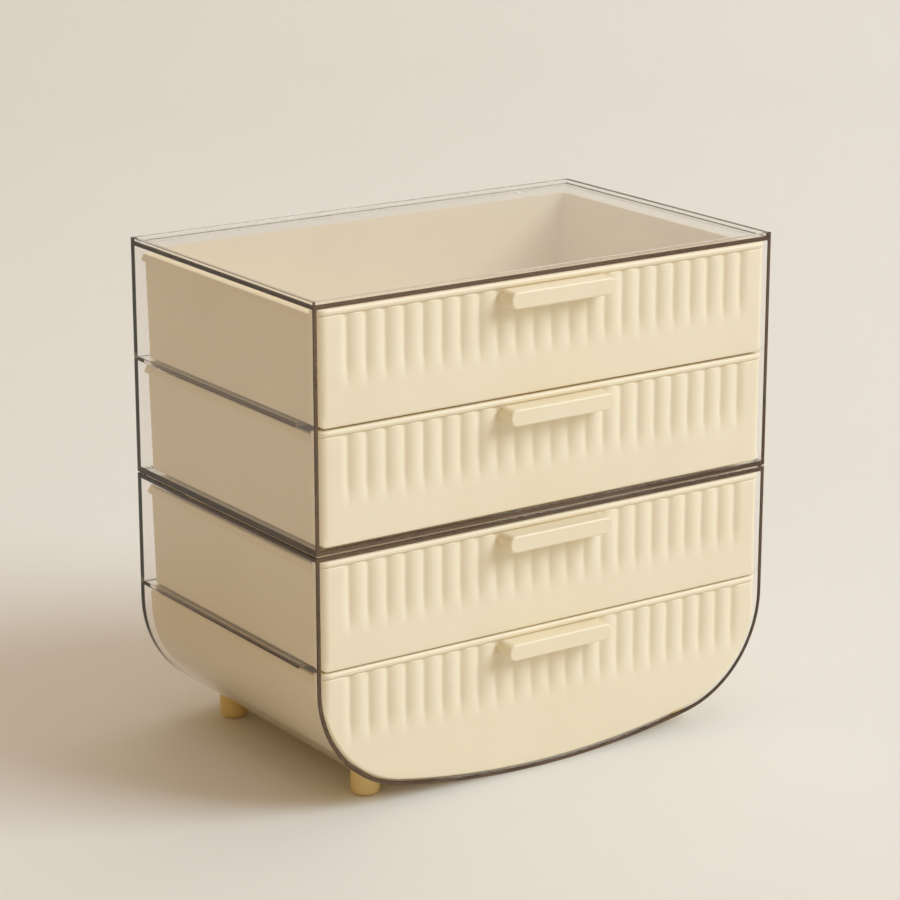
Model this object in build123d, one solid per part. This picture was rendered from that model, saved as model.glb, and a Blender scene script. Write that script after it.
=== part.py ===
from build123d import *
from math import asin, cos, radians, sin, sqrt, tan
import os

# A dressing-table organizer: two clear acrylic cases, one stood on the other, with four fluted drawers.
# Millimetres. +Z is up and the drawers open towards -Y. The origin is on the floor, under the middle of
# the whole part, handles included.

# Clear cases
CASE_WIDTH = 300.0
CASE_DEPTH = 190.0
UPPER_CASE_HEIGHT = 134.6    # rim included
LOWER_CASE_HEIGHT = 147.1
SIDE_SHEET = 2.5             # sides, backs and the bent wrap
FLAT_SHEET = 2.7             # tops and the upper base
TOP_RIM_WIDTH = 3.6          # low rim round the upper top
TOP_RIM_HEIGHT = 1.7
SHEET_EDGE_BREAK = 0.5       # polished-off upper edge of the tops
WRAP_CORNER_RADIUS = 65.0    # outside of the bent wrap
WRAP_BASE_RADIUS = 500.0     # outside of its bowed base
BOND_LINE = 0.1              # cement between curved faces

# Pads between the cases
PAD_THICKNESS = 0.8
PAD_DIAMETER = 10.0
PAD_INSET = 22.0

# Feet
GROUND_CLEARANCE = 0.8       # under the lowest line of the wrap
FOOT_DIAMETER = 16.0
FOOT_SIDE_INSET = 45.0
FOOT_END_INSET = 25.0
FOOT_EDGE_RADIUS = 3.0

# Runners cemented inside the case walls
RUNNER_WIDTH = 10.0
RUNNER_THICKNESS = 2.0
RUNNER_SETBACK = 20.0        # from the front edge of the case

# Drawer fronts
FRONT_RECESS = 0.2           # behind the front edge of the case
FRONT_THICKNESS = 6.0
FRONT_SIDE_GAP = 0.7
FRONT_GAP = 0.6              # between the lower fronts, and to the sheets above and below
UPPER_FRONT_GAP = 1.0        # between the upper fronts
DEEP_FRONT_HEIGHT = 79.3     # lowest drawer, at its middle
FRONT_CORNER_RADIUS = 3.0
FRONT_EDGE_RADIUS = 2.4
RIM_HEIGHT = 3.4
RIM_PROUD = 0.5
RIM_EDGE_RADIUS = 1.6

# Flutes on the fronts
FLUTE_PITCH = 11.75
FLUTE_DEPTH = 1.8
FLUTE_LENGTH = 42.0          # from under the rim to the end of the fade
FLUTE_FADE = 15.0
FLUTE_SIDE_MARGIN = 11.0     # least width of the end reeds
CREST_DROP = 0.05            # reed crests below the plain face

# Drawer trays
TRAY_SIDE_GAP = 3.2          # to the inside of the case wall
TRAY_BACK_GAP = 0.8          # from the lip to the back sheet
TRAY_WALL = 2.0
TRAY_FLOOR = 2.0
TRAY_CORNER_RADIUS = 5.0
TRAY_DRAFT = 1.2             # degrees
TRAY_DROP = 3.5              # tray rim below the top of its front
LIP_REACH = 1.6
LIP_HEIGHT = 4.0
LIP_SLOPE_WIDTH = 1.4        # steep slope along the lip's upper edge
LIP_SLOPE_HEIGHT = 3.2
LIP_EDGE_RADIUS = 0.5
RUN_GAP = 0.3                # under a tray, over what it slides on

# Handles
HANDLE_LENGTH = 69.0
HANDLE_HEIGHT = 9.4
HANDLE_REACH = 11.0          # in front of the plain face
HANDLE_DROP = 8.2            # axis below the top of the front
HANDLE_CORNER_RADIUS = 4.2
HANDLE_EDGE_RADIUS = 1.1
HANDLE_SEAT_GAP = 0.15       # round the handle in its seat

# Screws that hold handle, front and tray together
SCREW_SPACING = 48.0
SCREW_DIAMETER = 3.0
SCREW_GRIP = 7.0             # length inside the handle
SCREW_HEAD_DIAMETER = 5.6
SCREW_HEAD_HEIGHT = 1.8
SCREW_HEAD_ROUND = 0.8
SCREW_SLOT_WIDTH = 0.9
SCREW_SLOT_LENGTH = 3.2
SCREW_SLOT_DEPTH = 1.0
SCREW_HOLE_GAP = 0.2         # round the screw in front and tray
SCREW_THREAD_GAP = 0.05      # round the screw in the handle
SCREW_TIP_ROOM = 1.0         # beyond the tip of the screw

# Cutters run this far past what they cut
CUT_OVER = 1.0

# Levels and planes worked out from the sizes above
HALF_WIDTH = CASE_WIDTH / 2
INNER_HALF = HALF_WIDTH - SIDE_SHEET
HANDLE_PROUD = HANDLE_REACH - FRONT_RECESS
CASE_FRONT = (HANDLE_PROUD - CASE_DEPTH) / 2
CASE_BACK = CASE_FRONT + CASE_DEPTH
BACK_SHEET_FACE = CASE_BACK - SIDE_SHEET
FACE = CASE_FRONT + FRONT_RECESS
VALLEY = FACE + FLUTE_DEPTH
TRAY_FRONT = FACE + FRONT_THICKNESS
TRAY_BACK = BACK_SHEET_FACE - TRAY_BACK_GAP - LIP_REACH
TRAY_HALF = INNER_HALF - TRAY_SIDE_GAP

LOWER_BOTTOM = GROUND_CLEARANCE
LOWER_TOP = LOWER_BOTTOM + LOWER_CASE_HEIGHT
LOWER_CEILING = LOWER_TOP - FLAT_SHEET
UPPER_BOTTOM = LOWER_TOP + PAD_THICKNESS
UPPER_TOP = UPPER_BOTTOM + UPPER_CASE_HEIGHT
UPPER_FLOOR = UPPER_BOTTOM + FLAT_SHEET
UPPER_CEILING = UPPER_TOP - TOP_RIM_HEIGHT - FLAT_SHEET

UPPER_FRONT_HEIGHT = (UPPER_CEILING - UPPER_FLOOR - 2 * FRONT_GAP - UPPER_FRONT_GAP) / 2
FRONT_HALF = INNER_HALF - FRONT_SIDE_GAP
FRONT_2_BOTTOM = UPPER_FLOOR + FRONT_GAP
FRONT_2_TOP = FRONT_2_BOTTOM + UPPER_FRONT_HEIGHT
FRONT_1_BOTTOM = FRONT_2_TOP + UPPER_FRONT_GAP
FRONT_1_TOP = FRONT_1_BOTTOM + UPPER_FRONT_HEIGHT
FRONT_4_TOP = LOWER_BOTTOM + SIDE_SHEET + FRONT_GAP + DEEP_FRONT_HEIGHT
FRONT_3_BOTTOM = FRONT_4_TOP + FRONT_GAP
FRONT_3_TOP = LOWER_CEILING - FRONT_GAP


def block(x0, x1, y0, y1, z0, z1):
    """A box between two corners."""
    centre = Pos((x0 + x1) / 2, (y0 + y1) / 2, (z0 + z1) / 2)
    return centre * Box(x1 - x0, y1 - y0, z1 - z0)


def along_y(face, y0, y1):
    """An upright face, drawn at y = 0, drawn out from y0 to y1."""
    return Pos(0, y0, 0) * extrude(face, amount=y1 - y0, dir=(0, 1, 0))


def cradle_face(side_inset, base_inset, top):
    """The lower case's rounded outline, brought in by the two insets, as a face with a level top."""
    half = HALF_WIDTH - side_inset
    corner = WRAP_CORNER_RADIUS - side_inset
    base = WRAP_BASE_RADIUS - base_inset
    lowest = LOWER_BOTTOM + base_inset
    corner_x = half - corner
    lean = asin(corner_x / (base - corner))
    corner_z = lowest + base - (base - corner) * cos(lean)

    # The corner starts level with its centre, or at the top of a face that ends below that
    start = asin(max(corner_z - top, 0.0) / corner)
    middle = (start + radians(90) - lean) / 2
    start_x = corner_x + corner * cos(start)
    start_z = corner_z - corner * sin(start)
    round_x = corner_x + corner * cos(middle)
    round_z = corner_z - corner * sin(middle)
    join_x = base * sin(lean)
    join_z = lowest + base - base * cos(lean)
    edges = [ThreePointArc((join_x, 0, join_z), (0, 0, lowest), (-join_x, 0, join_z))]
    for side in (-1, 1):
        shoulder = (side * start_x, 0, start_z)
        edges.append(ThreePointArc(shoulder, (side * round_x, 0, round_z), (side * join_x, 0, join_z)))
        if top > corner_z:
            edges.append(Line((side * half, 0, top), shoulder))
    edges.append(Line((-start_x, 0, top), (start_x, 0, top)))
    return make_face(edges)


def front_outline(bottom, top):
    """A plain drawer front's outline, with its two lower corners rounded."""
    corner = min(FRONT_CORNER_RADIUS, (top - bottom) / 3)
    bend = corner * (1 - sqrt(0.5))
    edges = [
        Line((FRONT_HALF, 0, top), (FRONT_HALF, 0, bottom + corner)),
        ThreePointArc(
            (FRONT_HALF, 0, bottom + corner),
            (FRONT_HALF - bend, 0, bottom + bend),
            (FRONT_HALF - corner, 0, bottom),
        ),
        Line((FRONT_HALF - corner, 0, bottom), (corner - FRONT_HALF, 0, bottom)),
        ThreePointArc(
            (corner - FRONT_HALF, 0, bottom),
            (bend - FRONT_HALF, 0, bottom + bend),
            (-FRONT_HALF, 0, bottom + corner),
        ),
        Line((-FRONT_HALF, 0, bottom + corner), (-FRONT_HALF, 0, top)),
        Line((-FRONT_HALF, 0, top), (FRONT_HALF, 0, top)),
    ]
    return make_face(edges)


def flute_cutter(top):
    """What is cut from a plain face to leave a row of rounded reeds that fade out downwards."""
    valleys = int((2 * FRONT_HALF - 2 * FLUTE_SIDE_MARGIN) / FLUTE_PITCH)
    first_crest = -valleys * FLUTE_PITCH / 2
    crest = FACE + CREST_DROP
    upper = top - RIM_HEIGHT / 2
    lower = top - RIM_HEIGHT - FLUTE_LENGTH

    # The fade is two equal arcs, level with the valleys above and with the plain face below
    fade_start = lower + FLUTE_FADE
    bend_radius = (FLUTE_FADE ** 2 + FLUTE_DEPTH ** 2) / (4 * FLUTE_DEPTH)
    half_turn = asin(FLUTE_FADE / 2 / bend_radius) / 2
    bulge = bend_radius * (1 - cos(half_turn))
    drop = bend_radius * sin(half_turn)
    middle = (0, (FACE + VALLEY) / 2, lower + FLUTE_FADE / 2)
    zone_edges = [
        Line((0, VALLEY, upper), (0, VALLEY, fade_start)),
        ThreePointArc((0, VALLEY, fade_start), (0, VALLEY - bulge, fade_start - drop), middle),
        ThreePointArc(middle, (0, FACE + bulge, lower + drop), (0, FACE, lower)),
        Line((0, FACE, lower), (0, FACE - CUT_OVER, lower)),
        Line((0, FACE - CUT_OVER, lower), (0, FACE - CUT_OVER, upper)),
        Line((0, FACE - CUT_OVER, upper), (0, VALLEY, upper)),
    ]
    zone = extrude(make_face(zone_edges), amount=-2 * first_crest, dir=(1, 0, 0))

    # The cut ends on the crests of the first and last reeds, which run on into the front's side edges
    outside = first_crest - FLUTE_PITCH / 2
    reed_edges = []
    for index in range(valleys + 1):
        left = outside + index * FLUTE_PITCH
        crown = (left + FLUTE_PITCH / 2, crest, 0)
        reed_edges.append(ThreePointArc((left, VALLEY, 0), crown, (left + FLUTE_PITCH, VALLEY, 0)))
    behind = VALLEY + CUT_OVER
    reed_edges.append(Line((-outside, VALLEY, 0), (-outside, behind, 0)))
    reed_edges.append(Line((-outside, behind, 0), (outside, behind, 0)))
    reed_edges.append(Line((outside, behind, 0), (outside, VALLEY, 0)))
    base_level = lower - CUT_OVER
    reeds = extrude(make_face(reed_edges), amount=upper - base_level + CUT_OVER, dir=(0, 0, 1))
    return Pos(first_crest, 0, 0) * zone - Pos(0, 0, base_level) * reeds


def handle_bar(axis_z, y0, y1, gap=0.0):
    """The rounded bar section of a handle, or of its seat with a gap all round, between two depths."""
    height = HANDLE_HEIGHT + 2 * gap
    corner = min(HANDLE_CORNER_RADIUS, 0.48 * HANDLE_HEIGHT) + gap
    section = Plane.XZ * Pos(0, axis_z) * RectangleRounded(HANDLE_LENGTH + 2 * gap, height, corner)
    return along_y(section.face(), y0, y1)


def across_screws(make):
    """One shape for each of the two screws of a handle."""
    return [make(side * SCREW_SPACING / 2) for side in (-1, 1)]


def rod(x, z, radius, y0, y1):
    """A round rod along Y."""
    section = Plane.XZ * Pos(x, z) * Circle(radius)
    return along_y(section.face(), y0, y1)


def drawer_front(outline, top):
    """A fluted front with a rounded rim, a seat for the handle and two screw holes."""
    slab = along_y(outline, FACE, TRAY_FRONT)
    face_edges = slab.faces().sort_by(Axis.Y)[0].edges().sort_by(Axis.Z)[:-1]
    edge_radius = min(FRONT_EDGE_RADIUS, 0.8 * FRONT_CORNER_RADIUS, 0.6 * FRONT_THICKNESS)
    slab = fillet(face_edges, edge_radius)
    slab = slab - flute_cutter(top)

    rim = block(-FRONT_HALF, FRONT_HALF, FACE - RIM_PROUD, TRAY_FRONT, top - RIM_HEIGHT, top)
    rim_radius = min(RIM_EDGE_RADIUS, 0.45 * RIM_HEIGHT)
    rim = fillet(rim.faces().sort_by(Axis.Y)[0].edges(), rim_radius)

    front = slab + rim
    axis_z = top - HANDLE_DROP
    front = front - handle_bar(axis_z, FACE - CUT_OVER, VALLEY, HANDLE_SEAT_GAP)
    hole = SCREW_DIAMETER / 2 + SCREW_HOLE_GAP
    for cutter in across_screws(lambda x: rod(x, axis_z, hole, FACE, TRAY_FRONT + CUT_OVER)):
        front = front - cutter
    return front


def drawer_handle(top):
    """A bar handle that sits in its seat on the front, with two blind holes for the screws."""
    axis_z = top - HANDLE_DROP
    bar = handle_bar(axis_z, FACE - HANDLE_REACH, VALLEY)
    bar = fillet(bar.faces().sort_by(Axis.Y)[0].edges(), min(HANDLE_EDGE_RADIUS, HANDLE_HEIGHT / 4))
    hole = SCREW_DIAMETER / 2 + SCREW_THREAD_GAP
    tip = VALLEY - SCREW_GRIP - SCREW_TIP_ROOM
    for cutter in across_screws(lambda x: rod(x, axis_z, hole, tip, VALLEY + CUT_OVER)):
        bar = bar - cutter
    return bar


def handle_screw(x, axis_z):
    """One round-headed screw, its head against the inside of the tray's front wall."""
    seat = TRAY_FRONT + TRAY_WALL
    crown = seat + SCREW_HEAD_HEIGHT
    head = rod(x, axis_z, SCREW_HEAD_DIAMETER / 2, seat, crown)
    head = fillet(head.faces().sort_by(Axis.Y)[-1].edges(), min(SCREW_HEAD_ROUND, SCREW_HEAD_HEIGHT / 2))
    slot_floor = crown - SCREW_SLOT_DEPTH
    for wide, tall in ((SCREW_SLOT_LENGTH, SCREW_SLOT_WIDTH), (SCREW_SLOT_WIDTH, SCREW_SLOT_LENGTH)):
        head = head - block(
            x - wide / 2, x + wide / 2, slot_floor, crown + CUT_OVER, axis_z - tall / 2, axis_z + tall / 2
        )
    return head + rod(x, axis_z, SCREW_DIAMETER / 2, VALLEY - SCREW_GRIP, seat)


def handle_screws(top):
    """The two screws of one handle."""
    return Compound(children=across_screws(lambda x: handle_screw(x, top - HANDLE_DROP)))


def tray_lip(rim_z):
    """The lip round the sides and back of a tray, with its front ends cut at a slant."""
    start = TRAY_FRONT + TRAY_WALL
    outer = TRAY_HALF + LIP_REACH
    back = TRAY_BACK + LIP_REACH
    plan = Polyline(
        (TRAY_HALF, start),
        (outer, start + LIP_REACH),
        (outer, back),
        (-outer, back),
        (-outer, start + LIP_REACH),
        (-TRAY_HALF, start),
        close=True,
    )
    lip = Pos(0, 0, rim_z - LIP_HEIGHT) * extrude(make_face(plan.edges()), amount=LIP_HEIGHT, dir=(0, 0, 1))
    corner = min(TRAY_CORNER_RADIUS, 4 * LIP_REACH)
    lip = fillet(lip.edges().filter_by(Axis.Z).group_by(Axis.Y)[-1], corner)
    lip = fillet(lip.edges().group_by(Axis.Z)[0], min(LIP_EDGE_RADIUS, LIP_HEIGHT / 4))
    rim = lip.faces().sort_by(Axis.Z)[-1]
    across = min(LIP_SLOPE_WIDTH, 0.9 * LIP_REACH)
    down = min(LIP_SLOPE_HEIGHT, 0.8 * LIP_HEIGHT)
    return chamfer(rim.edges(), across, down, reference=rim)


def with_screw_holes(tray, top):
    """A tray with the two handle screws' holes through its front wall."""
    hole = SCREW_DIAMETER / 2 + SCREW_HOLE_GAP
    y0 = TRAY_FRONT - CUT_OVER
    y1 = TRAY_FRONT + TRAY_WALL + CUT_OVER
    for cutter in across_screws(lambda x: rod(x, top - HANDLE_DROP, hole, y0, y1)):
        tray = tray - cutter
    return tray


def drafted_block(half, front, back, corner, bottom, rim_z):
    """A round-cornered block that tapers downwards from its outline at the rim."""
    top_plane = Plane(origin=(0, (front + back) / 2, rim_z), x_dir=(1, 0, 0), z_dir=(0, 0, -1))
    outline = top_plane * RectangleRounded(2 * half, back - front, corner)
    return extrude(outline, amount=rim_z - bottom, taper=TRAY_DRAFT)


def box_tray(bottom, top):
    """A drawer tray with a flat floor: sides and back lean in a little, and the front wall is upright."""
    rim_z = top - TRAY_DROP
    corner = TRAY_CORNER_RADIUS
    inner_corner = max(corner - TRAY_WALL, corner / 2)
    lean = (rim_z - bottom) * tan(radians(TRAY_DRAFT))
    wall_face = TRAY_FRONT + TRAY_WALL
    outer = drafted_block(TRAY_HALF, TRAY_FRONT, TRAY_BACK, corner, bottom, rim_z)
    inner_half = TRAY_HALF - TRAY_WALL
    inner_back = TRAY_BACK - TRAY_WALL
    cavity = drafted_block(inner_half, wall_face - lean, inner_back, inner_corner, bottom + TRAY_FLOOR, rim_z)
    wall_outline = Polyline(
        (TRAY_HALF, 0, rim_z),
        (TRAY_HALF - lean, 0, bottom),
        (lean - TRAY_HALF, 0, bottom),
        (-TRAY_HALF, 0, rim_z),
        close=True,
    )
    front_wall = along_y(make_face(wall_outline.edges()), TRAY_FRONT, wall_face)
    tray = outer + tray_lip(rim_z)
    tray = tray - cavity + front_wall
    return with_screw_holes(tray, top)


def cradle_tray(top):
    """The lowest drawer's tray, whose floor follows the rounded case."""
    rim_z = top - TRAY_DROP
    side = SIDE_SHEET + TRAY_SIDE_GAP
    base = SIDE_SHEET + RUN_GAP
    outer = along_y(cradle_face(side, base, rim_z), TRAY_FRONT, TRAY_BACK)
    inside = cradle_face(side + TRAY_WALL, base + TRAY_FLOOR, rim_z + CUT_OVER)
    cavity = along_y(inside, TRAY_FRONT + TRAY_WALL, TRAY_BACK - TRAY_WALL)
    tray = outer + tray_lip(rim_z)
    tray = tray - cavity
    return with_screw_holes(tray, top)


def top_sheet(ceiling, top):
    """A case's top sheet, with its upper edge broken all round."""
    sheet = block(-HALF_WIDTH, HALF_WIDTH, CASE_FRONT, CASE_BACK, ceiling, top)
    return chamfer(sheet.faces().sort_by(Axis.Z)[-1].edges(), min(SHEET_EDGE_BREAK, FLAT_SHEET / 2))


def top_well():
    """The shallow space inside the rim of the upper top."""
    half = HALF_WIDTH - TOP_RIM_WIDTH
    front = CASE_FRONT + TOP_RIM_WIDTH
    back = CASE_BACK - TOP_RIM_WIDTH
    return block(-half, half, front, back, UPPER_TOP - TOP_RIM_HEIGHT, UPPER_TOP + CUT_OVER)


def runner(side, top):
    """A strip on the inside of a case wall, which the drawer above slides on."""
    near = INNER_HALF - RUNNER_WIDTH
    start = CASE_FRONT + RUNNER_SETBACK
    strip = block(near, INNER_HALF, start, BACK_SHEET_FACE, top - RUNNER_THICKNESS, top)
    return strip if side > 0 else mirror(strip, Plane.YZ)


def side_sheet(side):
    """An upper case side, between the base and the top."""
    sheet = block(INNER_HALF, HALF_WIDTH, CASE_FRONT, CASE_BACK, UPPER_FLOOR, UPPER_CEILING)
    return sheet if side > 0 else mirror(sheet, Plane.YZ)


def inside_wrap(y0, y1):
    """The space inside the bent wrap, a little past its upper edges."""
    return along_y(cradle_face(SIDE_SHEET, SIDE_SHEET, LOWER_CEILING + CUT_OVER), y0, y1)


def lower_wrap():
    """The lower case's sides and base, bent from one sheet."""
    outer = along_y(cradle_face(0.0, 0.0, LOWER_CEILING), CASE_FRONT, CASE_BACK)
    return outer - inside_wrap(CASE_FRONT - CUT_OVER, CASE_BACK + CUT_OVER)


def lower_back():
    """The lower case's back sheet, set inside the wrap."""
    inset = SIDE_SHEET + BOND_LINE
    return along_y(cradle_face(inset, inset, LOWER_CEILING), BACK_SHEET_FACE, CASE_BACK)


def foot(x, y):
    """A round foot, rounded under its edge and shaped on top to the wrap that it is cemented to."""
    on_floor = (Align.CENTER, Align.CENTER, Align.MIN)
    peg = Pos(x, y, 0) * Cylinder(FOOT_DIAMETER / 2, LOWER_CEILING, align=on_floor)
    peg = fillet(peg.edges().sort_by(Axis.Z)[0], min(FOOT_EDGE_RADIUS, 0.4 * FOOT_DIAMETER))
    case = cradle_face(-BOND_LINE, -BOND_LINE, LOWER_TOP)
    return peg - along_y(case, CASE_FRONT - FOOT_DIAMETER, CASE_BACK + FOOT_DIAMETER)


def stacking_pads():
    """Four clear pads under the corners of the upper case."""
    x = HALF_WIDTH - PAD_INSET
    places = [(side * x, y) for side in (-1, 1) for y in (CASE_FRONT + PAD_INSET, CASE_BACK - PAD_INSET)]
    level = LOWER_TOP + PAD_THICKNESS / 2
    pads = [Pos(px, py, level) * Cylinder(PAD_DIAMETER / 2, PAD_THICKNESS) for px, py in places]
    return Compound(children=pads)


upper_base = block(-HALF_WIDTH, HALF_WIDTH, CASE_FRONT, CASE_BACK, UPPER_BOTTOM, UPPER_FLOOR)
upper_back = block(-INNER_HALF, INNER_HALF, BACK_SHEET_FACE, CASE_BACK, UPPER_FLOOR, UPPER_CEILING)
parts = {
    "upper_top_sheet": top_sheet(UPPER_CEILING, UPPER_TOP) - top_well(),
    "upper_base_sheet": upper_base,
    "upper_back_sheet": upper_back,
    "stacking_pads": stacking_pads(),
    "lower_wrap": lower_wrap(),
    "lower_top_sheet": top_sheet(LOWER_CEILING, LOWER_TOP),
    "lower_back_sheet": lower_back(),
}

wrap_room = inside_wrap(CASE_FRONT, BACK_SHEET_FACE)
for side_name, side in (("left", -1), ("right", 1)):
    parts[f"upper_{side_name}_sheet"] = side_sheet(side)
    parts[f"upper_{side_name}_runner"] = runner(side, FRONT_1_BOTTOM)
    parts[f"lower_{side_name}_runner"] = runner(side, FRONT_3_BOTTOM) & wrap_room
    foot_x = side * (HALF_WIDTH - FOOT_SIDE_INSET)
    parts[f"front_{side_name}_foot"] = foot(foot_x, CASE_FRONT + FOOT_END_INSET)
    parts[f"rear_{side_name}_foot"] = foot(foot_x, CASE_BACK - FOOT_END_INSET)

deep_outline = cradle_face(SIDE_SHEET + FRONT_SIDE_GAP, SIDE_SHEET + FRONT_GAP, FRONT_4_TOP)
fronts = {
    1: (front_outline(FRONT_1_BOTTOM, FRONT_1_TOP), FRONT_1_TOP),
    2: (front_outline(FRONT_2_BOTTOM, FRONT_2_TOP), FRONT_2_TOP),
    3: (front_outline(FRONT_3_BOTTOM, FRONT_3_TOP), FRONT_3_TOP),
    4: (deep_outline, FRONT_4_TOP),
}
trays = {
    1: box_tray(FRONT_1_BOTTOM + RUN_GAP, FRONT_1_TOP),
    2: box_tray(UPPER_FLOOR + RUN_GAP, FRONT_2_TOP),
    3: box_tray(FRONT_3_BOTTOM + RUN_GAP, FRONT_3_TOP),
    4: cradle_tray(FRONT_4_TOP),
}
for number, (outline, top) in fronts.items():
    parts[f"drawer_{number}_front"] = drawer_front(outline, top)
    parts[f"drawer_{number}_tray"] = trays[number]
    parts[f"drawer_{number}_handle"] = drawer_handle(top)
    parts[f"drawer_{number}_screws"] = handle_screws(top)

os.makedirs("parts", exist_ok=True)
for name, shape in parts.items():
    export_step(shape, f"parts/{name}.step")
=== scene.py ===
from math import asin, atan2, cos, hypot, pi, radians, sin, sqrt

import bmesh
import bpy
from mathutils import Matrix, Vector


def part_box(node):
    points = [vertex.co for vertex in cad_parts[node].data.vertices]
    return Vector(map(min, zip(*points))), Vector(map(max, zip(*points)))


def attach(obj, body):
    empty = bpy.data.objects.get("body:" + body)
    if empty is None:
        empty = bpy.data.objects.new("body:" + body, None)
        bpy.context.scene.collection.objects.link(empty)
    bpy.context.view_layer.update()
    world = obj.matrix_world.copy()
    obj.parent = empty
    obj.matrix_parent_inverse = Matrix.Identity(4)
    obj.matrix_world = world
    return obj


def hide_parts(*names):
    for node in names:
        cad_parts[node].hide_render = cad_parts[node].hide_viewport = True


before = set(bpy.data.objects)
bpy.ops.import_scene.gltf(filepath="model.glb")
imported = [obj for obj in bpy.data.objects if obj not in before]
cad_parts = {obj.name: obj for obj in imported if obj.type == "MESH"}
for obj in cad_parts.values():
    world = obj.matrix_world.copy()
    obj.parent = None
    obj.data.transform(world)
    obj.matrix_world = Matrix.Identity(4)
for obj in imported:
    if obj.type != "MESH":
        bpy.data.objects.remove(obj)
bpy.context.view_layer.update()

# A dressing-table organizer: two clear acrylic cases with four fluted cream drawers.
# Metres, +Z up, front towards -Y.

scene = bpy.context.scene

# Clear cases
WRAP_CORNER_RADIUS = 0.065
WRAP_BASE_RADIUS = 0.500
SHEET_EDGE_ROUND = 0.0004
EDGE_ROUND_STEPS = 3
WELD = 0.000001              # points nearer than this are one
CORNER_STEPS = 28
BASE_STEPS = 36
CASE_SMOOTH_ANGLE = 5.0      # degrees, so that flat clear faces stay flat
TOP_RIM_WIDTH = 0.0036       # low rim round the top of the upper case
TOP_RIM_HEIGHT = 0.0022

# Pads between the cases
PAD_RADIUS = 0.0050
PAD_GAP = 0.00005            # between a pad and the sheets that it sits between
PAD_SIDES = 40
PAD_EDGE_STEPS = 8

# Drawer fronts
RIM_HEIGHT = 0.0034
RIM_PROUD = 0.0005
RIM_GROOVE = 0.0009          # rim's edges behind the reed crests
REED_SHOULDER = 0.0010       # rounding at the upper end of the reeds
REED_PITCH = 0.01175
REED_DEPTH = 0.0016
VALLEY_RADIUS = 0.0018       # rounding between two reeds
REED_LENGTH = 0.0420         # from under the rim to the end of the fade
REED_FADE = 0.0170
VALLEYS = 23
SIDE_ROUND_WIDTH = 0.0054    # rounding of the side edges, across and back
SIDE_ROUND_DEPTH = 0.0050
FRONT_CORNER = 0.0045        # lower corners of a plain front
LOWER_ROUND = 0.0014         # rounding of the lower edge
EDGE_LAND = 0.0008           # flat left at the back of the side edges
CRADLE_SIDE_SHARE = 0.35     # part of the lowest front's round corners that keeps the side rounding
FRONT_SMOOTH_ANGLE = 24.0    # degrees

# Points of a drawer front, across it and down it
STEPS_PER_REED = 20
SIDE_STEPS = 14
RIM_STEPS = 16
SHOULDER_STEPS = 4
REED_STEPS = 4
FADE_STEPS = 14
FACE_STEPS = 5
LOWER_STEPS = 6
REEDED_SHARE = 0.95          # most of a short column that its reeds may take

# Camera, found from the case's edges in the photograph
CASE_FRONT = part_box("upper_left_sheet")[0].y
CAMERA_TARGET = Vector((-0.0664, CASE_FRONT, 0.1926))
CAMERA_AZIMUTH = -34.395
CAMERA_ELEVATION = 16.112
CAMERA_DISTANCE = 1.5877
CAMERA_LENS = 120.95
SENSOR_WIDTH = 36.0

# Floor and backdrop in one sweep
SWEEP_HALF_WIDTH = 6.0
SWEEP_FRONT = -6.0
SWEEP_REAR = 2.2
SWEEP_BEND = 1.2
SWEEP_HEIGHT = 5.0
SWEEP_STEPS = 24


def compass(azimuth, elevation):
    """The unit vector from the part towards a viewpoint, both angles in degrees."""
    a, e = radians(azimuth), radians(elevation)
    return Vector((sin(a) * cos(e), -cos(a) * cos(e), sin(e)))


# Mesh helpers


def new_piece(name, mesh_builder, smooth_angle=35.0):
    """A mesh object filled by a builder function, shaded smooth except across sharp edges."""
    mesh = bpy.data.meshes.new(name)
    bm = bmesh.new()
    mesh_builder(bm)
    bmesh.ops.recalc_face_normals(bm, faces=bm.faces)
    for face in bm.faces:
        face.smooth = True
    bm.to_mesh(mesh)
    bm.free()
    mesh.set_sharp_from_angle(angle=radians(smooth_angle))
    piece = bpy.data.objects.new(name, mesh)
    scene.collection.objects.link(piece)
    return piece


def round_edges(bm, width, angle=40.0):
    """Rounds the edges whose two faces meet at more than an angle in degrees."""
    bm.normal_update()
    sharp = [edge for edge in bm.edges if edge.calc_face_angle(0.0) > radians(angle)]
    bmesh.ops.bevel(bm, geom=sharp, offset=width, segments=EDGE_ROUND_STEPS, profile=0.5, affect="EDGES")


def loft_loops(bm, loops, close_start=False, close_end=False):
    """Skins a row of closed loops of points, with a face over either end where asked."""
    rings = [[bm.verts.new(point) for point in loop] for loop in loops]
    for near, far in zip(rings, rings[1:]):
        for index in range(len(near)):
            after = (index + 1) % len(near)
            bm.faces.new((near[index], near[after], far[after], far[index]))
    if close_start:
        bm.faces.new(rings[0])
    if close_end:
        bm.faces.new(rings[-1])


# Clear acrylic cases


def box_loop(low, high, side=0.0, under=0.0, over=0.0):
    """A rectangle's corners in x and z, brought in from the sides, from below and from above."""
    x0, x1 = low.x + side, high.x - side
    z0, z1 = low.z + under, high.z - over
    return [(x0, z1), (x0, z0), (x1, z0), (x1, z1)]


def cradle_loop(half, corner, base, lowest, top):
    """The bent wrap's outline in x and z, from the top left round under the base to the top right."""
    corner_x = half - corner
    lean = asin(corner_x / (base - corner))
    corner_z = lowest + base - (base - corner) * cos(lean)
    points = [(-half, top)]
    turn = pi / 2 - lean
    for step in range(CORNER_STEPS + 1):
        a = turn * step / CORNER_STEPS
        points.append((-corner_x - corner * cos(a), corner_z - corner * sin(a)))
    for step in range(1, BASE_STEPS):
        a = -lean + 2 * lean * step / BASE_STEPS
        points.append((base * sin(a), lowest + base - base * cos(a)))
    return points + [(-x, z) for x, z in reversed(points[:CORNER_STEPS + 2])]


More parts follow.
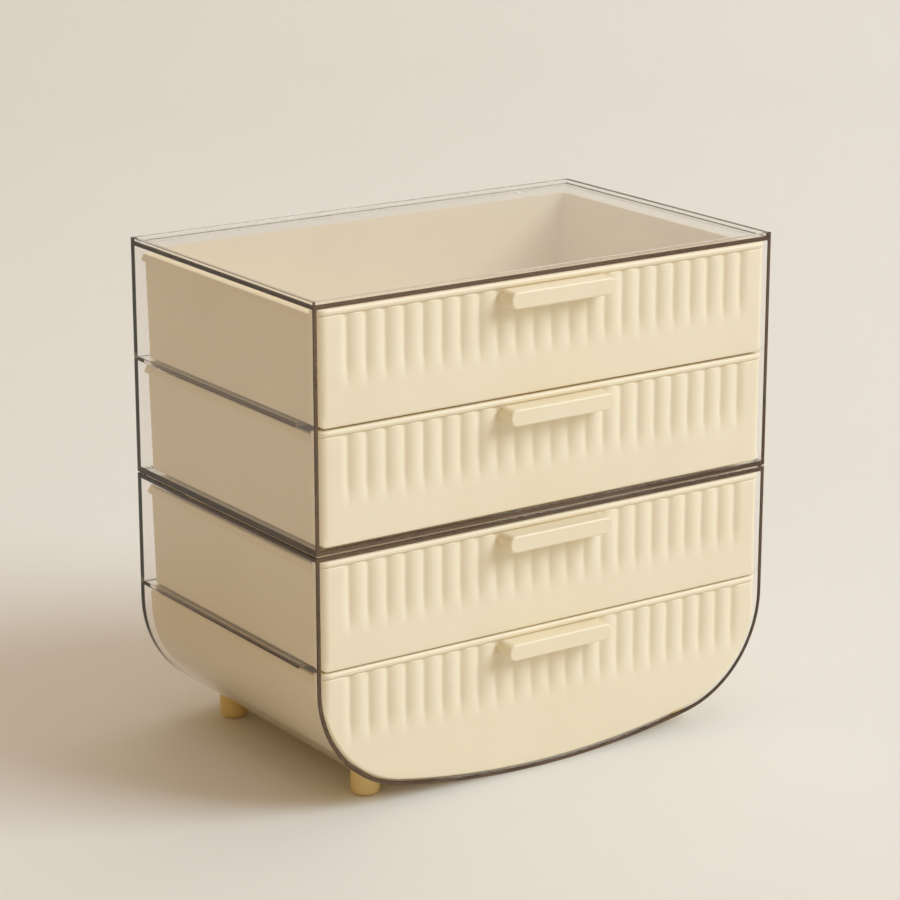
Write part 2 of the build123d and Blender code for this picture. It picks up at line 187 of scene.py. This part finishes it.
def with_runners(inner, runner_low, runner_high, reach):
    """An inside outline whose upright walls carry runner strips that reach inwards, if at all."""
    wall = inner[0][0]
    edge = wall + reach
    left = [(wall, runner_high), (edge, runner_high), (edge, runner_low), (wall, runner_low)]
    right = [(-x, z) for x, z in reversed(left)]
    return [inner[0]] + left + inner[1:-1] + right + [inner[-1]]


def with_levels(outer, levels):
    """An outside outline with points on its sides level with the runners, as many as the inside has."""
    left = [(outer[0][0], z) for z in levels]
    right = [(-x, z) for x, z in reversed(left)]
    return [outer[0]] + left + outer[1:-1] + right + [outer[-1]]


def sink_well(bm):
    """Sinks the middle of a case's top, which leaves a low rim round it."""
    top = max(bm.faces, key=lambda face: face.calc_center_median().z)
    bmesh.ops.inset_individual(bm, faces=[top], thickness=TOP_RIM_WIDTH)
    well = bmesh.ops.extrude_discrete_faces(bm, faces=[top])["faces"][0]
    for vert in well.verts:
        vert.co.z -= TOP_RIM_HEIGHT


def open_case(name, outer, inner, runner, front, inside_back, back, rimmed):
    """A clear case in one welded piece: walls, back sheet and two runner strips, open in front."""
    low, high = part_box(runner)
    bare = with_runners(inner, low.z, high.z, 0.0)
    railed = with_runners(inner, low.z, high.z, high.x - low.x)
    outside = with_levels(outer, [high.z, high.z, low.z, low.z])

    def build(bm):
        loops = [
            [(x, back, z) for x, z in outside],
            [(x, front, z) for x, z in outside],
            [(x, front, z) for x, z in bare],
            [(x, low.y, z) for x, z in bare],
            [(x, low.y, z) for x, z in railed],
            [(x, inside_back, z) for x, z in railed],
        ]
        loft_loops(bm, loops, close_start=True, close_end=True)
        bmesh.ops.remove_doubles(bm, verts=bm.verts, dist=WELD)
        bmesh.ops.recalc_face_normals(bm, faces=bm.faces)
        if rimmed:
            sink_well(bm)
        round_edges(bm, SHEET_EDGE_ROUND)
    return new_piece(name, build, CASE_SMOOTH_ANGLE)


side_low, side_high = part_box("upper_left_sheet")
base_low, base_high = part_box("upper_base_sheet")
top_low, top_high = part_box("upper_top_sheet")
side_sheet = side_high.x - side_low.x
base_sheet = base_high.z - base_low.z
top_sheet = top_high.z - top_low.z
upper_low, upper_high = base_low, top_high
lower_low, lower_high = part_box("lower_wrap")[0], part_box("lower_top_sheet")[1]
case_half = upper_high.x
back_face = upper_high.y - side_sheet

upper_case = open_case(
    "upper_case",
    box_loop(upper_low, upper_high),
    box_loop(upper_low, upper_high, side_sheet, base_sheet, top_sheet),
    "upper_left_runner", upper_low.y, back_face, upper_high.y, rimmed=True,
)
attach(upper_case, "upper_unit")
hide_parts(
    "upper_top_sheet", "upper_base_sheet", "upper_back_sheet",
    "upper_left_sheet", "upper_right_sheet", "upper_left_runner", "upper_right_runner",
)
lower_case = open_case(
    "lower_case",
    cradle_loop(case_half, WRAP_CORNER_RADIUS, WRAP_BASE_RADIUS, lower_low.z, lower_high.z),
    cradle_loop(
        case_half - side_sheet, WRAP_CORNER_RADIUS - side_sheet, WRAP_BASE_RADIUS - side_sheet,
        lower_low.z + side_sheet, lower_high.z - base_sheet,
    ),
    "lower_left_runner", lower_low.y, back_face, upper_high.y, rimmed=False,
)
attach(lower_case, "lower_unit")
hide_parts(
    "lower_wrap", "lower_top_sheet", "lower_back_sheet",
    "lower_left_runner", "lower_right_runner",
)

clear_pieces = [upper_case, lower_case]


def stacking_pads(bm):
    """Four domed silicone pads between the cases."""
    low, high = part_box("stacking_pads")
    bottom, top = low.z + PAD_GAP, high.z - PAD_GAP
    edge = (top - bottom) / 2
    for x in (low.x + PAD_RADIUS, high.x - PAD_RADIUS):
        for y in (low.y + PAD_RADIUS, high.y - PAD_RADIUS):
            rings = []
            for step in range(PAD_EDGE_STEPS + 1):
                turn = pi * step / PAD_EDGE_STEPS - pi / 2
                radius = PAD_RADIUS - edge * (1 - cos(turn))
                z = (bottom + top) / 2 + edge * sin(turn)
                spokes = [2 * pi * index / PAD_SIDES for index in range(PAD_SIDES)]
                rings.append([(x + radius * cos(a), y + radius * sin(a), z) for a in spokes])
            loft_loops(bm, rings, close_start=True, close_end=True)


pads = new_piece("silicone_pads", stacking_pads)
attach(pads, "upper_unit")
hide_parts("stacking_pads")


# Drawer fronts


def plain_outline(half, bottom):
    """A plain front: its lower line, and each point's distances in from the side and lower edges."""
    corner = FRONT_CORNER

    def lower_line(x):
        past = max(abs(x) - (half - corner), 0.0)
        return bottom + corner - sqrt(max(corner ** 2 - past ** 2, 0.0))

    def edges(x, z):
        across = abs(x) - (half - corner)
        down = bottom + corner - z
        if down <= 0:
            return half - abs(x), z - bottom
        if across <= 0:
            return half, z - bottom
        inward = corner - hypot(across, down)
        turn = atan2(down, across) / (pi / 2)
        return inward + SIDE_ROUND_WIDTH * smooth_share(turn), inward
    return lower_line, edges


def cradle_outline(half, corner, base, lowest):
    """The lowest front, which follows the rounded case, in the same terms."""
    corner_x = half - corner
    lean = asin(corner_x / (base - corner))
    base_z = lowest + base
    corner_z = base_z - (base - corner) * cos(lean)

    def lower_line(x):
        if abs(x) <= base * sin(lean):
            return base_z - sqrt(base ** 2 - x ** 2)
        return corner_z - sqrt(max(corner ** 2 - (abs(x) - corner_x) ** 2, 0.0))

    def edges(x, z):
        if z >= corner_z:
            return half - abs(x), half
        if abs(x) <= (base_z - z) * sin(lean) / cos(lean):
            return half, base - hypot(x, base_z - z)
        across, down = abs(x) - corner_x, corner_z - z
        inward = corner - hypot(across, down)
        turn = atan2(down, across) / (pi / 2 - lean)
        return inward + SIDE_ROUND_WIDTH * smooth_share(turn / CRADLE_SIDE_SHARE), inward
    return lower_line, edges


def arc_drop(share, depth):
    """How far a quarter-round edge falls back, from all of its depth at share 1 to nothing at share 0."""
    share = min(max(share, 0.0), 1.0)
    return depth * (1 - sqrt(1 - share ** 2))


def smooth_share(value):
    """A soft step from 0 to 1."""
    value = min(max(value, 0.0), 1.0)
    return value * value * (3 - 2 * value)


def reed_drop(x):
    """How far rounded reeds and the valleys between them fall behind the crests, at full strength."""
    if abs(x) >= VALLEYS * REED_PITCH / 2:
        return 0.0
    from_valley = abs((x / REED_PITCH + 0.5) % 1.0 - 0.5) * REED_PITCH
    from_crest = REED_PITCH / 2 - from_valley
    both_radii = (REED_PITCH ** 2 / 4 + REED_DEPTH ** 2) / (2 * REED_DEPTH)
    crest_radius = both_radii - VALLEY_RADIUS
    if from_crest > REED_PITCH / 2 * crest_radius / both_radii:
        return REED_DEPTH - VALLEY_RADIUS + sqrt(VALLEY_RADIUS ** 2 - from_valley ** 2)
    return crest_radius - sqrt(crest_radius ** 2 - from_crest ** 2)


def face_drop(x, below):
    """The front's relief, behind the plain face, at a distance below its top."""
    if below <= RIM_HEIGHT:
        share = abs(2 * below / RIM_HEIGHT - 1)
        return arc_drop(share, RIM_GROOVE + RIM_PROUD) - RIM_PROUD
    under_rim = below - RIM_HEIGHT
    fade = smooth_share((REED_LENGTH - under_rim) / REED_FADE)
    return reed_drop(x) * fade + arc_drop(1 - under_rim / REED_SHOULDER, RIM_GROOVE)


def half_columns(half):
    """The x of every column of points on the right half, from the middle to the side edge."""
    last_crest = VALLEYS * REED_PITCH / 2
    count = VALLEYS * STEPS_PER_REED // 2
    columns = [last_crest * index / count for index in range(count)]
    plain = half - SIDE_ROUND_WIDTH
    columns += [last_crest, (last_crest + plain) / 2]
    turns = [pi / 2 * index / SIDE_STEPS for index in range(SIDE_STEPS + 1)]
    return columns + [plain + SIDE_ROUND_WIDTH * sin(turn) for turn in turns]


def row_depths(height):
    """How far every point of a column is below the top: rim, shoulder, reeds, fade, face, lower edge."""
    rows = [RIM_HEIGHT * (1 - cos(pi * index / RIM_STEPS)) / 2 for index in range(RIM_STEPS + 1)]
    turns = [pi / 2 * index / SHOULDER_STEPS for index in range(1, SHOULDER_STEPS + 1)]
    rows += [RIM_HEIGHT + REED_SHOULDER * (1 - cos(turn)) for turn in turns]
    fixed = rows[-1]
    reed_end = RIM_HEIGHT + REED_LENGTH
    fade_start = reed_end - REED_FADE
    reeded = [fixed + (fade_start - fixed) * index / REED_STEPS for index in range(1, REED_STEPS + 1)]
    reeded += [fade_start + REED_FADE * index / FADE_STEPS for index in range(1, FADE_STEPS + 1)]
    room = height - LOWER_ROUND
    squeeze = min(1.0, REEDED_SHARE * (room - fixed) / (reed_end - fixed))
    rows += [fixed + (depth - fixed) * squeeze for depth in reeded]
    start = rows[-1]
    rows += [start + (room - start) * index / FACE_STEPS for index in range(1, FACE_STEPS + 1)]
    turns = [pi / 2 * index / LOWER_STEPS for index in range(1, LOWER_STEPS + 1)]
    return rows + [room + LOWER_ROUND * sin(turn) for turn in turns]


def drawer_front(number):
    """A moulded front: beaded rim, reeds that fade out downwards, rounded side edges."""
    node = f"drawer_{number}_front"
    low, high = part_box(node)
    half, top, back = high.x, high.z, high.y
    face = low.y + RIM_PROUD
    if number == 4:
        corner = WRAP_CORNER_RADIUS - (case_half - half)
        base = WRAP_BASE_RADIUS - (low.z - lower_low.z)
        lower_line, edges = cradle_outline(half, corner, base, low.z)
    else:
        lower_line, edges = plain_outline(half, low.z)

    def depth(x, z):
        from_side, from_lower = edges(x, z)
        side = arc_drop(1 - from_side / SIDE_ROUND_WIDTH, SIDE_ROUND_DEPTH)
        lower = arc_drop(1 - from_lower / LOWER_ROUND, LOWER_ROUND)
        return min(face + face_drop(x, top - z) + max(side, lower), back - EDGE_LAND)

    def build(bm):
        right = half_columns(half)
        columns = [-x for x in reversed(right[1:])] + right
        grid = []
        for x in columns:
            rows = row_depths(top - lower_line(x))
            grid.append([bm.verts.new((x, depth(x, top - below), top - below)) for below in rows])
        for near, far in zip(grid, grid[1:]):
            for index in range(len(near) - 1):
                bm.faces.new((near[index], near[index + 1], far[index + 1], far[index]))
        rim = [column[0] for column in grid] + grid[-1][1:]
        rim += [column[-1] for column in reversed(grid[:-1])] + grid[0][-2:0:-1]
        rear = [bm.verts.new((vert.co.x, back, vert.co.z)) for vert in rim]
        for index in range(len(rim)):
            after = (index + 1) % len(rim)
            bm.faces.new((rim[index], rim[after], rear[after], rear[index]))
        bm.faces.new(rear)
    front = new_piece(node + "_moulding", build, FRONT_SMOOTH_ANGLE)
    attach(front, f"drawer_{number}")
    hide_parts(node)
    return front


front_pieces = [drawer_front(number) for number in (1, 2, 3, 4)]

# Materials


def new_material(name):
    """A material with only its output node."""
    material = bpy.data.materials.new(name)
    material.use_nodes = True
    tree = material.node_tree
    tree.nodes.clear()
    output = tree.nodes.new("ShaderNodeOutputMaterial")
    return material, tree, output


def principled(tree, **values):
    """A Principled shader with plain values on its sockets."""
    shader = tree.nodes.new("ShaderNodeBsdfPrincipled")
    for socket, value in values.items():
        shader.inputs[socket.replace("_", " ").title().replace("Ior", "IOR")].default_value = value
    return shader


def link(tree, source, target):
    """Joins an output to an input."""
    tree.links.new(source, target)


def new_group(name, inputs, outputs):
    """A shader node group with named sockets, each given as its name, type and, for inputs, value."""
    tree = bpy.data.node_groups.new(name, "ShaderNodeTree")
    for label, kind, value in inputs:
        socket = tree.interface.new_socket(label, in_out="INPUT", socket_type=kind)
        socket.default_value = value
    for label, kind in outputs:
        tree.interface.new_socket(label, in_out="OUTPUT", socket_type=kind)
    return tree, tree.nodes.new("NodeGroupInput"), tree.nodes.new("NodeGroupOutput")


def noise(tree, coordinates, detail, roughness, scale=None):
    """A noise texture on the part's own coordinates, its scale left free where none is given."""
    texture = tree.nodes.new("ShaderNodeTexNoise")
    texture.inputs["Detail"].default_value = detail
    texture.inputs["Roughness"].default_value = roughness
    if scale is not None:
        texture.inputs["Scale"].default_value = scale
    link(tree, coordinates.outputs["Object"], texture.inputs["Vector"])
    return texture


def spread(tree, value, low, high):
    """A value from 0.3 to 0.7 spread over a new range, whose ends are sockets."""
    ramp = tree.nodes.new("ShaderNodeMapRange")
    ramp.inputs["From Min"].default_value = 0.3
    ramp.inputs["From Max"].default_value = 0.7
    link(tree, value, ramp.inputs["Value"])
    link(tree, low, ramp.inputs["To Min"])
    link(tree, high, ramp.inputs["To Max"])
    return ramp.outputs["Result"]


def colour_drift_group():
    """A slow drift between two close colours, as in pigment that is not quite evenly mixed."""
    tree, given, result = new_group(
        "colour drift",
        [
            ("Light Colour", "NodeSocketColor", (0.8, 0.8, 0.8, 1.0)),
            ("Deep Colour", "NodeSocketColor", (0.7, 0.7, 0.7, 1.0)),
            ("Patch Scale", "NodeSocketFloat", 20.0),
        ],
        [("Colour", "NodeSocketColor")],
    )
    coordinates = tree.nodes.new("ShaderNodeTexCoord")
    patches = noise(tree, coordinates, detail=4.0, roughness=0.55)
    link(tree, given.outputs["Patch Scale"], patches.inputs["Scale"])
    mix = tree.nodes.new("ShaderNodeMix")
    mix.data_type = "RGBA"
    ramp = tree.nodes.new("ShaderNodeMapRange")
    ramp.inputs["From Min"].default_value = 0.32
    ramp.inputs["From Max"].default_value = 0.68
    link(tree, patches.outputs["Fac"], ramp.inputs["Value"])
    link(tree, ramp.outputs["Result"], mix.inputs["Factor"])
    link(tree, given.outputs["Light Colour"], mix.inputs["A"])
    link(tree, given.outputs["Deep Colour"], mix.inputs["B"])
    link(tree, mix.outputs["Result"], result.inputs["Colour"])
    return tree


def surface_grain_group():
    """Fine grain with a slower unevenness: a height for a bump, and a roughness that follows it."""
    tree, given, result = new_group(
        "surface grain",
        [
            ("Grain Scale", "NodeSocketFloat", 2500.0),
            ("Smoothest", "NodeSocketFloat", 0.35),
            ("Roughest", "NodeSocketFloat", 0.45),
        ],
        [("Height", "NodeSocketFloat"), ("Roughness", "NodeSocketFloat")],
    )
    coordinates = tree.nodes.new("ShaderNodeTexCoord")
    grain = noise(tree, coordinates, detail=2.0, roughness=0.5)
    link(tree, given.outputs["Grain Scale"], grain.inputs["Scale"])
    waves = noise(tree, coordinates, detail=3.0, roughness=0.5, scale=60.0)
    height = tree.nodes.new("ShaderNodeMath")
    height.operation = "MULTIPLY_ADD"
    grain_share = 0.35
    height.inputs[1].default_value = grain_share
    link(tree, grain.outputs["Fac"], height.inputs[0])
    link(tree, waves.outputs["Fac"], height.inputs[2])
    link(tree, height.outputs[0], result.inputs["Height"])
    gloss = spread(tree, waves.outputs["Fac"], given.outputs["Smoothest"], given.outputs["Roughest"])
    link(tree, gloss, result.inputs["Roughness"])
    return tree


def handling_group():
    """Faint wiped smears on a polished surface: a roughness, and a height for a bump."""
    tree, given, result = new_group(
        "handling marks",
        [
            ("Cleanest", "NodeSocketFloat", 0.0),
            ("Dullest", "NodeSocketFloat", 0.04),
            ("Smear Scale", "NodeSocketFloat", 14.0),
        ],
        [("Roughness", "NodeSocketFloat"), ("Height", "NodeSocketFloat")],
    )
    coordinates = tree.nodes.new("ShaderNodeTexCoord")
    smears = noise(tree, coordinates, detail=5.0, roughness=0.6)
    smears.inputs["Distortion"].default_value = 1.2
    link(tree, given.outputs["Smear Scale"], smears.inputs["Scale"])
    gloss = spread(tree, smears.outputs["Fac"], given.outputs["Cleanest"], given.outputs["Dullest"])
    link(tree, gloss, result.inputs["Roughness"])
    link(tree, smears.outputs["Fac"], result.inputs["Height"])
    return tree


colour_drift = colour_drift_group()
surface_grain = surface_grain_group()
handling_marks = handling_group()


def place_group(tree, group, **values):
    """A group's node in a material, with its own values."""
    node = tree.nodes.new("ShaderNodeGroup")
    node.node_tree = group
    for label, value in values.items():
        node.inputs[label.replace("_", " ").title()].default_value = value
    return node


def bump(tree, height, shader, strength, distance):
    """A bump on a shader's normal."""
    node = tree.nodes.new("ShaderNodeBump")
    node.inputs["Strength"].default_value = strength
    node.inputs["Distance"].default_value = distance
    link(tree, height, node.inputs["Height"])
    link(tree, node.outputs["Normal"], shader.inputs["Normal"])


def clear_acrylic():
    """Clear cast sheet with faint wiped smears, browner the longer the way through it, as at its edges."""
    material, tree, output = new_material("clear acrylic")
    glass = principled(tree, ior=1.49, transmission_weight=1.0)
    marks = place_group(tree, handling_marks, cleanest=0.0, dullest=0.03, smear_scale=9.0)
    link(tree, marks.outputs["Roughness"], glass.inputs["Roughness"])
    glass.inputs["Base Color"].default_value = (1.0, 1.0, 1.0, 1.0)
    path = tree.nodes.new("ShaderNodeLightPath")
    clear = tree.nodes.new("ShaderNodeBsdfTransparent")
    clear.inputs["Color"].default_value = (0.985, 0.98, 0.972, 1.0)
    past_bounce = tree.nodes.new("ShaderNodeMixShader")
    past_shadow = tree.nodes.new("ShaderNodeMixShader")
    link(tree, path.outputs["Is Diffuse Ray"], past_bounce.inputs[0])
    link(tree, glass.outputs[0], past_bounce.inputs[1])
    link(tree, clear.outputs[0], past_bounce.inputs[2])
    link(tree, path.outputs["Is Shadow Ray"], past_shadow.inputs[0])
    link(tree, past_bounce.outputs[0], past_shadow.inputs[1])
    link(tree, clear.outputs[0], past_shadow.inputs[2])
    link(tree, past_shadow.outputs[0], output.inputs["Surface"])
    smoke = tree.nodes.new("ShaderNodeVolumeAbsorption")
    smoke.inputs["Color"].default_value = (0.45, 0.30, 0.13, 1.0)
    smoke.inputs["Density"].default_value = 16.0
    link(tree, smoke.outputs[0], output.inputs["Volume"])
    return material


def moulded_plastic(name, light, deep, smoothest, roughest, grain_scale, grain_depth, glow):
    """Satin moulding plastic: uneven pigment, fine grain and a little light carried under the surface."""
    material, tree, output = new_material(name)
    shader = principled(tree, ior=1.50, subsurface_weight=glow, subsurface_scale=0.0022)
    shader.inputs["Subsurface Radius"].default_value = (1.0, 0.72, 0.42)
    drift = place_group(tree, colour_drift, light_colour=light, deep_colour=deep, patch_scale=26.0)
    grain = place_group(tree, surface_grain, grain_scale=grain_scale, smoothest=smoothest, roughest=roughest)
    link(tree, drift.outputs["Colour"], shader.inputs["Base Color"])
    link(tree, grain.outputs["Roughness"], shader.inputs["Roughness"])
    bump(tree, grain.outputs["Height"], shader, strength=0.25, distance=grain_depth)
    link(tree, shader.outputs[0], output.inputs["Surface"])
    return material


def zinc_steel():
    """Zinc-plated screw steel with a pale crystal mottle."""
    material, tree, output = new_material("zinc plated steel")
    shader = principled(tree, metallic=1.0)
    drift = place_group(
        tree, colour_drift, patch_scale=900.0,
        light_colour=(0.74, 0.74, 0.72, 1.0), deep_colour=(0.56, 0.57, 0.58, 1.0),
    )
    grain = place_group(tree, surface_grain, grain_scale=6000.0, smoothest=0.22, roughest=0.42)
    link(tree, drift.outputs["Colour"], shader.inputs["Base Color"])
    link(tree, grain.outputs["Roughness"], shader.inputs["Roughness"])
    bump(tree, grain.outputs["Height"], shader, strength=0.2, distance=0.00005)
    link(tree, shader.outputs[0], output.inputs["Surface"])
    return material


def clear_silicone():
    """Slightly milky clear silicone."""
    material, tree, output = new_material("clear silicone")
    shader = principled(tree, ior=1.41, transmission_weight=0.85)
    drift = place_group(
        tree, colour_drift, patch_scale=300.0,
        light_colour=(0.96, 0.95, 0.92, 1.0), deep_colour=(0.90, 0.88, 0.84, 1.0),
    )
    marks = place_group(tree, handling_marks, cleanest=0.18, dullest=0.32, smear_scale=240.0)
    link(tree, drift.outputs["Colour"], shader.inputs["Base Color"])
    link(tree, marks.outputs["Roughness"], shader.inputs["Roughness"])
    bump(tree, marks.outputs["Height"], shader, strength=0.1, distance=0.00005)
    link(tree, shader.outputs[0], output.inputs["Surface"])
    return material


def backdrop_paper():
    """Warm pale seamless paper with a faint tooth."""
    material, tree, output = new_material("backdrop paper")
    shader = principled(tree)
    drift = place_group(
        tree, colour_drift, patch_scale=2.0,
        light_colour=(0.80, 0.793, 0.778, 1.0), deep_colour=(0.79, 0.782, 0.765, 1.0),
    )
    grain = place_group(tree, surface_grain, grain_scale=900.0, smoothest=0.85, roughest=0.95)
    link(tree, drift.outputs["Colour"], shader.inputs["Base Color"])
    link(tree, grain.outputs["Roughness"], shader.inputs["Roughness"])
    link(tree, shader.outputs[0], output.inputs["Surface"])
    return material


acrylic = clear_acrylic()
front_plastic = moulded_plastic(
    "cream front plastic", light=(0.86, 0.78, 0.60, 1.0), deep=(0.84, 0.755, 0.575, 1.0),
    smoothest=0.36, roughest=0.46, grain_scale=2600.0, grain_depth=0.00006, glow=0.12,
)
tray_plastic = moulded_plastic(
    "cream tray plastic", light=(0.85, 0.76, 0.57, 1.0), deep=(0.82, 0.73, 0.54, 1.0),
    smoothest=0.42, roughest=0.55, grain_scale=1800.0, grain_depth=0.00008, glow=0.10,
)
handle_plastic = moulded_plastic(
    "cream handle plastic", light=(0.86, 0.775, 0.59, 1.0), deep=(0.84, 0.75, 0.565, 1.0),
    smoothest=0.30, roughest=0.38, grain_scale=3200.0, grain_depth=0.00004, glow=0.12,
)
# Tan foot plastic, darkened and made more saturated as painted shade for the shadow under the case
foot_plastic_with_painted_shade = moulded_plastic(
    "tan foot plastic with painted shade", light=(0.78, 0.60, 0.27, 1.0), deep=(0.74, 0.55, 0.23, 1.0),
    smoothest=0.40, roughest=0.52, grain_scale=1500.0, grain_depth=0.00008, glow=0.12,
)
steel = zinc_steel()
silicone = clear_silicone()

for piece in clear_pieces:
    piece.data.materials.append(acrylic)
for piece in front_pieces:
    piece.data.materials.append(front_plastic)
pads.data.materials.append(silicone)
node_finish = {"_tray": tray_plastic, "_handle": handle_plastic, "_foot": foot_plastic_with_painted_shade, "_screws": steel}
for name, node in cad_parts.items():
    for ending, finish in node_finish.items():
        if name.endswith(ending):
            for index in range(len(node.data.materials)):
                node.data.materials[index] = finish

# Floor and backdrop


def sweep(bm):
    """A floor that turns up into a backdrop behind the part."""
    profile = [(SWEEP_FRONT, 0.0)]
    for step in range(SWEEP_STEPS + 1):
        a = pi / 2 * step / SWEEP_STEPS
        profile.append((SWEEP_REAR + SWEEP_BEND * sin(a), SWEEP_BEND - SWEEP_BEND * cos(a)))
    profile.append((SWEEP_REAR + SWEEP_BEND, SWEEP_HEIGHT))
    left = [bm.verts.new((-SWEEP_HALF_WIDTH, y, z)) for y, z in profile]
    right = [bm.verts.new((SWEEP_HALF_WIDTH, y, z)) for y, z in profile]
    for index in range(len(profile) - 1):
        bm.faces.new((left[index], right[index], right[index + 1], left[index + 1]))


backdrop = new_piece("studio_sweep", sweep)
backdrop.rotation_euler.z = radians(CAMERA_AZIMUTH)
backdrop.data.materials.append(backdrop_paper())

# Light


def softbox(name, azimuth, elevation, distance, width, height, power, colour):
    """A soft rectangular light that faces the part."""
    light = bpy.data.lights.new(name, "AREA")
    light.shape = "RECTANGLE"
    light.size = width
    light.size_y = height
    light.energy = power
    light.color = colour
    lamp = bpy.data.objects.new(name, light)
    towards = compass(azimuth, elevation)
    lamp.location = CAMERA_TARGET + towards * distance
    lamp.rotation_mode = "QUATERNION"
    lamp.rotation_quaternion = towards.to_track_quat("Z", "Y")
    scene.collection.objects.link(lamp)


softbox(
    "key_softbox", azimuth=45.0, elevation=36.0, distance=9.0,
    width=5.2, height=5.2, power=632.0, colour=(0.796, 0.908, 1.0),
)
softbox(
    "overhead_softbox", azimuth=-20.0, elevation=80.0, distance=3.0,
    width=2.5, height=2.5, power=11.5, colour=(0.778, 0.787, 1.0),
)
softbox(
    "rear_softbox", azimuth=130.0, elevation=62.0, distance=4.0,
    width=2.5, height=2.5, power=15.6, colour=(1.0, 0.855, 0.748),
)
world = bpy.data.worlds.new("soft room light")
world.use_nodes = True
world.node_tree.nodes["Background"].inputs["Color"].default_value = (1.0, 0.738, 0.406, 1.0)
world.node_tree.nodes["Background"].inputs["Strength"].default_value = 0.45
scene.world = world
scene.view_settings.view_transform = "Standard"
scene.cycles.max_bounces = 48
scene.cycles.diffuse_bounces = 10
scene.cycles.glossy_bounces = 40
scene.cycles.transmission_bounces = 40
scene.cycles.transparent_max_bounces = 24

# Camera

lens = bpy.data.cameras.new("photo_camera")
lens.lens = CAMERA_LENS
lens.sensor_width = SENSOR_WIDTH
lens.clip_end = 50.0
camera = bpy.data.objects.new("photo_camera", lens)
view_from = compass(CAMERA_AZIMUTH, CAMERA_ELEVATION)
camera.location = CAMERA_TARGET + view_from * CAMERA_DISTANCE
camera.rotation_mode = "QUATERNION"
camera.rotation_quaternion = view_from.to_track_quat("Z", "Y")
scene.collection.objects.link(camera)
scene.camera = camera
